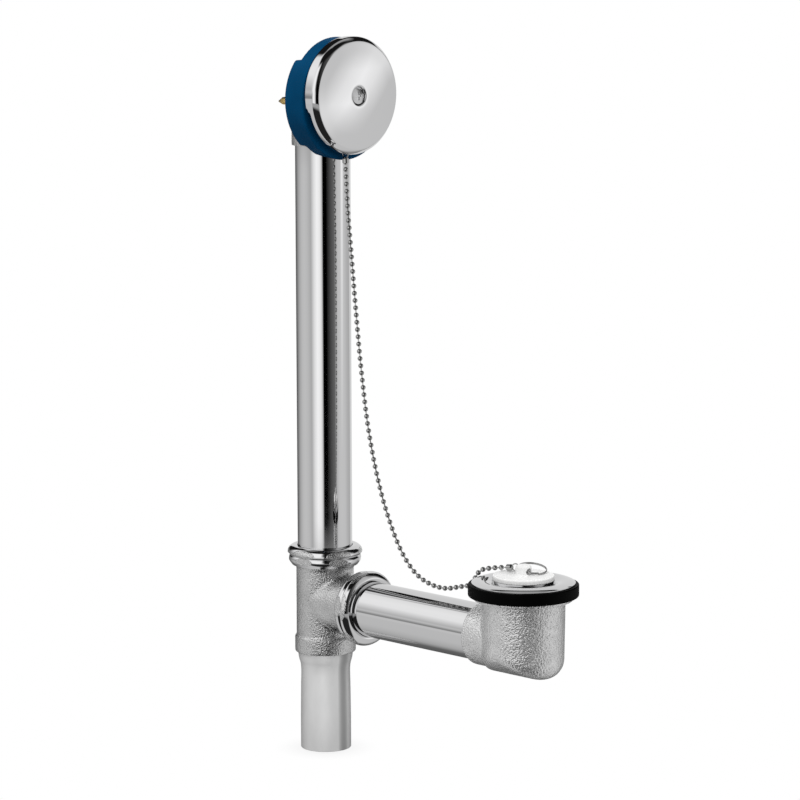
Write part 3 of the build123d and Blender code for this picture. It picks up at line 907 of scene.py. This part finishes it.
def necked_tail():
    """Tailpiece with a band under the tee, a soft neck and a straight outlet."""
    node = "tailpiece"
    wall = sizes().tube_wall / MM
    origin = Vector((middle(node).x, middle(node).y, low(node).z))
    band = (low("tee_body").z - origin.z) / MM - TAIL_BAND
    top = (high(node).z - origin.z) / MM
    tube = (high(node).y - low(node).y) / 2 / MM
    outside = [
        (tube, top),
        (tube, band, TAIL_BAND_ROUND),
        (TAIL_NECK_RADIUS, band - TAIL_NECK, TAIL_NECK_ROUND),
        (TAIL_RADIUS, TAIL_SPIGOT, TAIL_SPIGOT_ROUND),
        (TAIL_RADIUS, 0, TAIL_END_ROUND),
    ]
    inside = [(corner[0] - wall, *corner[1:]) for corner in reversed(outside)]
    mesh = mesh_of("necked_tailpiece", turned(outside + inside, origin, UP, AHEAD))
    settle("necked_tailpiece", mesh, "satin_tube", [node])


class BATHWASTE_OT_tee(bpy.types.Operator):
    """Cast tee and the tailpiece fixed in it"""

    bl_idname = "bathwaste.tee"
    bl_label = "Tee and Tailpiece"

    def execute(self, context):
        voxel = sizes().cast_voxel
        waves = sizes().cast_waves
        softened("tee_body", voxel, CAST_ROUNDS, "tee_casting", "cast_metal", waves)
        necked_tail()
        return {"FINISHED"}


class BATHWASTE_OT_drain(bpy.types.Operator):
    """Drain shoe, washer and flange"""

    bl_idname = "bathwaste.drain"
    bl_label = "Drain"

    def execute(self, context):
        voxel = sizes().cast_voxel
        waves = sizes().cast_waves
        softened(
            "drain_shoe", voxel, CAST_ROUNDS, "shoe_casting", "cast_metal", waves, "coarse_cast"
        )
        dress("bath_washer", "black_rubber")
        dress("drain_flange", "bright_chrome")
        return {"FINISHED"}


# Tilt of the split ring on the stopper, and the direction that it leans to
RING_TILT = math.radians(11)
RING_LEAN = math.radians(-22)
RING_STEPS = 72
WIRE_SIDES = 12


def split_ring():
    """Two close turns of wire, tilted as they rest on the stopper."""
    lean = Vector((math.cos(RING_LEAN), math.sin(RING_LEAN), 0))
    axis = lean * math.sin(RING_TILT) + UP * math.cos(RING_TILT)
    out = lean * math.cos(RING_TILT) - UP * math.sin(RING_TILT)
    centre = middle("stopper_ring")
    wire = sizes().ring_wire
    turns = sizes().ring_turns
    start = centre - axis * (wire * turns / 2) + out * (sizes().ring / 2)
    turn = Matrix((out, axis, out.cross(axis))).transposed().to_4x4()
    bm = bmesh.new()
    bmesh.ops.create_circle(
        bm,
        cap_ends=True,
        segments=WIRE_SIDES,
        radius=wire / 2,
        matrix=Matrix.Translation(start) @ turn,
    )
    coiled(bm, centre, axis, wire, turns, RING_STEPS)
    mesh = mesh_of("split_ring", bm)
    settle("split_ring", mesh, "chain_nickel", ["stopper_ring"])


class BATHWASTE_OT_stopper(bpy.types.Operator):
    """Rubber stopper and its split ring"""

    bl_idname = "bathwaste.stopper"
    bl_label = "Stopper"

    def execute(self, context):
        softened("stopper", STOPPER_VOXEL, STOPPER_ROUNDS, "stopper_rubber", "white_rubber")
        split_ring()
        return {"FINISHED"}


# Route of the chain in millimetres, from the faceplate coupling to the stopper coupling
CHAIN_ROUTE = (
    (-159.8, -5.7, 269.1), (-159.4, -5.1, 250.0), (-158.8, -4.6, 233.0), (-157.6, -3.8, 216.0),
    (-156.1, -3.3, 197.0), (-154.3, -3.0, 177.0), (-152.4, -2.6, 157.0), (-150.4, -2.3, 137.0),
    (-147.9, -1.9, 117.0), (-145.2, -1.5, 97.0), (-141.5, -1.1, 77.5), (-135.8, -1.5, 58.2),
    (-128.2, -2.6, 39.6), (-120.5, -3.9, 26.0), (-112.4, -5.2, 13.4), (-103.2, -5.8, 1.6),
    (-91.4, -6.1, -8.0), (-77.4, -5.8, -12.3), (-65.5, -5.2, -12.7), (-54.5, -4.4, -9.7),
    (-48.9, -4.1, -8.4), (-45.2, -3.7, -7.4), (-42.0, -3.6, -4.6), (-39.2, -3.8, 0.4),
    (-35.4, -3.9, 4.4), (-30.2, -3.4, 6.1), (-25.3, -2.6, 7.1), (-20.4, -1.6, 8.0),
    (-14.1, 0.1, 8.6),
)
ROUTE_STEPS = 16
BEAD_SEGMENTS = 16
BEAD_RINGS = 10
PIN_SIDES = 8
# Part of a bead's diameter that a pin leaves free between two beads' centres
PIN_GAP = 0.8


def route_points():
    """Points along the smooth line of the chain."""
    curve = bpy.data.curves.new("chain_line", "CURVE")
    curve.dimensions = "3D"
    curve.resolution_u = ROUTE_STEPS
    spline = curve.splines.new("NURBS")
    spline.points.add(len(CHAIN_ROUTE) - 1)
    for point, place_mm in zip(spline.points, CHAIN_ROUTE):
        point.co = (*(Vector(place_mm) * MM), 1)
    spline.order_u = 3
    spline.use_endpoint_u = True
    line = bpy.data.objects.new("chain_line", curve)
    mesh = bpy.data.meshes.new_from_object(line)
    points = [v.co.copy() for v in mesh.vertices]
    bpy.data.objects.remove(line)
    bpy.data.curves.remove(curve)
    bpy.data.meshes.remove(mesh)
    return points


def evenly_along(points, spacing):
    """Points an even distance apart along a line, with one at each end, and the line's length."""
    runs = [(b - a).length for a, b in zip(points, points[1:])]
    total = sum(runs)
    count = round(total / spacing)
    places = [points[0].copy()]
    reached = 0.0
    for start, end, run in zip(points, points[1:], runs):
        while len(places) < count and len(places) * total / count <= reached + run:
            places.append(start.lerp(end, (len(places) * total / count - reached) / run))
        reached += run
    places.append(points[-1].copy())
    return places, total


class BATHWASTE_OT_chain(bpy.types.Operator):
    """Ball chain and its couplings"""

    bl_idname = "bathwaste.chain"
    bl_label = "Ball Chain"

    def execute(self, context):
        points = route_points()
        places, length = evenly_along(points, sizes().pitch)
        bm = bmesh.new()
        for spot in places:
            bmesh.ops.create_uvsphere(
                bm,
                u_segments=BEAD_SEGMENTS,
                v_segments=BEAD_RINGS,
                radius=sizes().bead / 2,
                matrix=Matrix.Translation(spot),
            )
        for first, second in zip(places, places[1:]):
            turn = (second - first).to_track_quat("Z", "Y").to_matrix().to_4x4()
            bmesh.ops.create_cone(
                bm,
                segments=PIN_SIDES,
                radius1=sizes().pin / 2,
                radius2=sizes().pin / 2,
                depth=(second - first).length - PIN_GAP * sizes().bead,
                matrix=Matrix.Translation((first + second) / 2) @ turn,
            )
        mesh = mesh_of("ball_chain", bm)
        nodes = ["chain_beads", "chain_links"]
        chain = settle("ball_chain", mesh, "chain_nickel", nodes)
        dress("plate_coupling", "chain_nickel")
        dress("stopper_coupling", "chain_nickel")
        tuple(points[0])
        [tuple(p) for p in points]
        return {"FINISHED"}


# Stage

CAMERA_AZIMUTH = math.radians(44.661)
CAMERA_ELEVATION = math.radians(8.876)
CAMERA_ROLL = math.radians(-0.146)
CAMERA_DISTANCE = 2.4
CAMERA_TARGET = Vector((-0.114127, 0, 0.110057))
CAMERA_LENS = 159.4
CAMERA_SENSOR = 36
CAMERA_REACH = 20
# Floor: how far it lies below the object, half its width, its grey, and its shade's reach and level
FLOOR_DROP = 1 * MM
FLOOR_HALF = 3
FLOOR_LEVEL = 0.85
FLOOR_SHADE = 20 * MM
FLOOR_SHADE_LEVEL = 0.8
# Lamps: degrees to the right of the camera and up, distance, size and power
LAMPS = {
    "key_panel": (-35, 50, 1.6, 0.9, 12),
    "fill_panel": (60, 25, 1.8, 1.0, 6),
    "tail_panel": (0, 2, 0.13, 0.08, 0.115),
}
CARD_LEVEL = 0.8
# Cards behind the object: right, back and up from the drain's centre, then width and height
BACK_CARDS = {
    "back_card": (-0.025, -0.47, 0.09, 0.45, 0.42),
    "drain_card": (0.025, -0.47, 0.4, 0.45, 0.2),
}

# Brightness of the studio round the object, by degrees from the camera to the right:
# below the horizon, above it, overhead and at the ceiling
STUDIO_LOW = (
    (-180, 0.1), (-150, 0.12), (-134, 0.3), (-120, 0.5), (-100, 0.68), (-85, 0.72), (-70, 0.68),
    (-52, 0.55), (-38, 1.0), (-25, 1.25), (-14, 1.15), (-8, 0.95), (-3, 0.5), (0, 0.0), (14, 0.0),
    (25, 0.05), (40, 0.13), (48, 0.17), (56, 0.6), (66, 0.72), (80, 0.74), (98, 0.72), (114, 0.6),
    (140, 0.5), (155, 0.2), (180, 0.1),
)
STUDIO_HIGH = (
    (-180, 0.01), (-140, 0.01), (-128, 0.5), (-105, 0.58), (-80, 0.62), (-60, 0.9), (-40, 1.2),
    (-12, 1.2), (-4, 0.1), (2, 0.0), (16, 0.0), (40, 0.12), (50, 0.2), (58, 0.7), (94, 0.7),
    (106, 0.01), (180, 0.01),
)
STUDIO_TOP = (
    (-180, 0.01), (-134, 0.01), (-125, 1.0), (-105, 1.1), (-60, 1.0), (-40, 1.2), (-12, 1.2),
    (-4, 0.1), (2, 0.0), (40, 0.12), (58, 0.6), (84, 0.6), (100, 0.01), (180, 0.01),
)
STUDIO_CEILING = ((-180, 0.4), (-135, 0.4), (-110, 0.01), (105, 0.01), (130, 0.4), (180, 0.4))


def ground_ring(front):
    """Brightness of the ground by degrees, with a level of its own in front."""
    return (
        (-180, 0.1), (-150, 0.16), (-126, 0.5), (-100, 0.66), (-64, 0.7), (-52, front),
        (44, front), (56, 0.7), (110, 0.68), (150, 0.16), (180, 0.1),
    )


# Rings that take over between two heights, the ground far away and near last
STUDIO_RINGS = (
    (STUDIO_HIGH, 0.06, 0.16),
    (STUDIO_TOP, 0.16, 0.46),
    (STUDIO_CEILING, 0.74, 0.84),
    (ground_ring(0.45), -0.19, -0.205),
    (ground_ring(0.02), -0.28, -0.36),
)
# Plain light on matt surfaces, straight from below and from above
PLAIN_LIGHT = (0.25, 0.85)
# Dark line of the horizon on the left, by height and by degrees
STUDIO_LINE = ((-0.09, 0.0), (-0.065, 1.0), (-0.025, 1.0), (0.08, 0.0))
STUDIO_LINE_SIDE = ((-140, 0.0), (-115, 0.65), (-65, 0.65), (-45, 0.0))
LINE_LEVEL = 0.1
# Soft lamp on the right that slants upwards, by degrees across it and by height
STUDIO_GLOW = ((-9, 0.0), (-4, 0.7), (0, 1.0), (4, 0.7), (9, 0.0))
STUDIO_GLOW_RISE = ((-0.17, 0.0), (-0.09, 1.0), (0.0, 1.0), (0.08, 0.0))
GLOW_DEGREES = 92.0
GLOW_SLANT = 59.0
GLOW_LEVEL = 1.2


def studio_world():
    """White to the camera, plain light on the object, and soft panels in polished metal."""
    world = bpy.data.worlds.new("studio")
    world.cycles.sampling_method = "NONE"
    bpy.context.scene.world = world
    world.use_nodes = True
    tree = world.node_tree
    tree.nodes.clear()
    coord = tree.nodes.new("ShaderNodeTexCoord")
    turn = tree.nodes.new("ShaderNodeVectorRotate")
    turn.rotation_type = "Z_AXIS"
    turn.inputs["Angle"].default_value = math.pi / 2 - CAMERA_AZIMUTH
    tree.links.new(coord.outputs["Generated"], turn.inputs["Vector"])
    split = tree.nodes.new("ShaderNodeSeparateXYZ")
    tree.links.new(turn.outputs["Vector"], split.inputs["Vector"])
    height = split.outputs["Z"]
    angle = math_node(tree, "ARCTAN2", split.outputs["Y"], split.outputs["X"])
    degrees = math_node(tree, "MULTIPLY", angle, 180 / math.pi)
    level = level_ramp(tree, degrees, STUDIO_LOW)
    for stops, start, end in STUDIO_RINGS:
        share = range_node(tree, height, start, end, 0, 1)
        level = colour_mix(tree, share, level, level_ramp(tree, degrees, stops))
    line = level_ramp(tree, height, STUDIO_LINE)
    side = level_ramp(tree, degrees, STUDIO_LINE_SIDE)
    level = colour_mix(tree, math_node(tree, "MULTIPLY", line, side), level, grey(LINE_LEVEL))
    across = math_node(tree, "SUBTRACT", degrees, math_node(tree, "MULTIPLY", height, GLOW_SLANT))
    slant = level_ramp(tree, math_node(tree, "SUBTRACT", across, GLOW_DEGREES), STUDIO_GLOW)
    rise = level_ramp(tree, height, STUDIO_GLOW_RISE)
    level = colour_mix(tree, math_node(tree, "MULTIPLY", slant, rise), level, grey(GLOW_LEVEL))
    path = tree.nodes.new("ShaderNodeLightPath")
    panels = tree.nodes.new("ShaderNodeBackground")
    tree.links.new(level, panels.inputs["Color"])
    plain = tree.nodes.new("ShaderNodeBackground")
    tree.links.new(range_node(tree, height, -1, 1, *PLAIN_LIGHT), plain.inputs["Color"])
    white = tree.nodes.new("ShaderNodeBackground")
    white.inputs["Color"].default_value = (*grey(1), 1)
    inner = tree.nodes.new("ShaderNodeMixShader")
    tree.links.new(path.outputs["Is Glossy Ray"], inner.inputs["Fac"])
    tree.links.new(plain.outputs[0], inner.inputs[1])
    tree.links.new(panels.outputs[0], inner.inputs[2])
    outer = tree.nodes.new("ShaderNodeMixShader")
    tree.links.new(path.outputs["Is Camera Ray"], outer.inputs["Fac"])
    tree.links.new(inner.outputs[0], outer.inputs[1])
    tree.links.new(white.outputs[0], outer.inputs[2])
    out = tree.nodes.new("ShaderNodeOutputWorld")
    tree.links.new(outer.outputs[0], out.inputs["Surface"])


def white_floor():
    """Pale floor that is white to the camera, with the soft shade close under the object."""
    material = bpy.data.materials.new("pale_floor")
    material.use_nodes = True
    tree = material.node_tree
    shader = tree.nodes["Principled BSDF"]
    shader.inputs["Base Color"].default_value = (*grey(FLOOR_LEVEL), 1)
    shader.inputs["Roughness"].default_value = 0.7
    path = tree.nodes.new("ShaderNodeLightPath")
    glow = tree.nodes.new("ShaderNodeEmission")
    shade = tree.nodes.new("ShaderNodeAmbientOcclusion")
    shade.inputs["Distance"].default_value = FLOOR_SHADE
    tone = colour_mix(tree, shade.outputs["AO"], grey(FLOOR_SHADE_LEVEL), grey(1))
    tree.links.new(tone, glow.inputs["Color"])
    mix = tree.nodes.new("ShaderNodeMixShader")
    tree.links.new(path.outputs["Is Camera Ray"], mix.inputs["Fac"])
    tree.links.new(shader.outputs[0], mix.inputs[1])
    tree.links.new(glow.outputs[0], mix.inputs[2])
    tree.links.new(mix.outputs[0], tree.nodes["Material Output"].inputs["Surface"])
    bm = bmesh.new()
    level = Vector((0, 0, CAD_BOX[0][2] - FLOOR_DROP))
    bmesh.ops.create_grid(
        bm, x_segments=2, y_segments=2, size=FLOOR_HALF, matrix=Matrix.Translation(level)
    )
    floor = linked("floor", mesh_of("floor", bm))
    floor.data.materials.append(material)
    floor.visible_glossy = False
    floor.visible_diffuse = False


def bounce_card(name, centre, across, along):
    """Pale card beside the object that shows only in polished metal."""
    material = bpy.data.materials.new(name)
    material.use_nodes = True
    material.cycles.emission_sampling = "NONE"
    tree = material.node_tree
    glow = tree.nodes.new("ShaderNodeEmission")
    glow.inputs["Color"].default_value = (*grey(CARD_LEVEL), 1)
    tree.links.new(glow.outputs[0], tree.nodes["Material Output"].inputs["Surface"])
    bm = bmesh.new()
    turn = Matrix((across, along, across.cross(along).normalized())).transposed().to_4x4()
    turn.translation = centre
    bmesh.ops.create_grid(bm, x_segments=1, y_segments=1, size=0.5, matrix=turn)
    card = linked(name, mesh_of(name, bm))
    card.data.materials.append(material)
    card.visible_camera = False
    card.visible_diffuse = False
    card.visible_shadow = False


def camera_frame(azimuth, elevation):
    """Right, up and back directions of a camera."""
    right = Vector((math.cos(azimuth), math.sin(azimuth), 0))
    back = Vector(
        (
            math.sin(azimuth) * math.cos(elevation),
            -math.cos(azimuth) * math.cos(elevation),
            math.sin(elevation),
        )
    )
    return right, back.cross(right), back


def soft_lamp(name, target, azimuth, elevation, distance, size, power):
    """Square area lamp that looks at a target and doesn't show in metal."""
    right, up, back = camera_frame(CAMERA_AZIMUTH + math.radians(azimuth), math.radians(elevation))
    lamp = bpy.data.lights.new(name, "AREA")
    lamp.size = size
    lamp.energy = power
    holder = linked(name, lamp)
    turn = Matrix((right, up, back)).transposed().to_4x4()
    holder.matrix_world = Matrix.Translation(target + back * distance) @ turn
    holder.visible_camera = False
    holder.visible_glossy = False


class BATHWASTE_OT_stage(bpy.types.Operator):
    """Floor, studio light and camera"""

    bl_idname = "bathwaste.stage"
    bl_label = "Stage"

    def execute(self, context):
        studio_world()
        white_floor()
        right, up, back = camera_frame(CAMERA_AZIMUTH, 0)
        for name, (shift, depth, rise, width, tall) in BACK_CARDS.items():
            centre = right * shift + back * depth + UP * rise
            bounce_card(name, centre, right * width, UP * tall)
        for name, values in LAMPS.items():
            target = middle("tailpiece") if name == "tail_panel" else CAMERA_TARGET
            soft_lamp(name, target, *values)
        right, up, back = camera_frame(CAMERA_AZIMUTH, CAMERA_ELEVATION)
        rolled_right = right * math.cos(CAMERA_ROLL) + up * math.sin(CAMERA_ROLL)
        rolled_up = up * math.cos(CAMERA_ROLL) - right * math.sin(CAMERA_ROLL)
        lens = bpy.data.cameras.new("camera")
        lens.lens = CAMERA_LENS
        lens.sensor_width = CAMERA_SENSOR
        lens.clip_end = CAMERA_REACH
        camera = linked("camera", lens)
        turn = Matrix((rolled_right, rolled_up, back)).transposed().to_4x4()
        camera.matrix_world = Matrix.Translation(CAMERA_TARGET + back * CAMERA_DISTANCE) @ turn
        context.scene.camera = camera
        context.scene.view_settings.view_transform = "Standard"
        return {"FINISHED"}


OPERATORS = (
    BATHWASTE_OT_overflow_head,
    BATHWASTE_OT_tubes,
    BATHWASTE_OT_slip_joints,
    BATHWASTE_OT_tee,
    BATHWASTE_OT_drain,
    BATHWASTE_OT_stopper,
    BATHWASTE_OT_chain,
    BATHWASTE_OT_stage,
)


class BATHWASTE_PT_panel(bpy.types.Panel):
    """Sidebar list of the pieces and their sizes"""

    bl_idname = "BATHWASTE_PT_panel"
    bl_label = "Bath Waste"
    bl_space_type = "VIEW_3D"
    bl_region_type = "UI"
    bl_category = "Bath Waste"

    def draw(self, context):
        for group in (context.scene.waste_sizes, context.scene.waste_colours):
            for name in group.__annotations__:
                self.layout.prop(group, name)
        for operator in OPERATORS:
            self.layout.operator(operator.bl_idname)


CLASSES = (WasteSizes, WasteColours, *OPERATORS, BATHWASTE_PT_panel)


def register():
    for cls in CLASSES:
        bpy.utils.register_class(cls)
    bpy.types.Scene.waste_sizes = PointerProperty(type=WasteSizes)
    bpy.types.Scene.waste_colours = PointerProperty(type=WasteColours)


def unregister():
    del bpy.types.Scene.waste_colours
    del bpy.types.Scene.waste_sizes
    for cls in reversed(CLASSES):
        bpy.utils.unregister_class(cls)


def main():
    register()
    bpy.ops.bathwaste.overflow_head()
    bpy.ops.bathwaste.tubes()
    bpy.ops.bathwaste.slip_joints()
    bpy.ops.bathwaste.tee()
    bpy.ops.bathwaste.drain()
    bpy.ops.bathwaste.stopper()
    bpy.ops.bathwaste.chain()
    bpy.ops.bathwaste.stage()


if __name__ == "__main__":
    main()
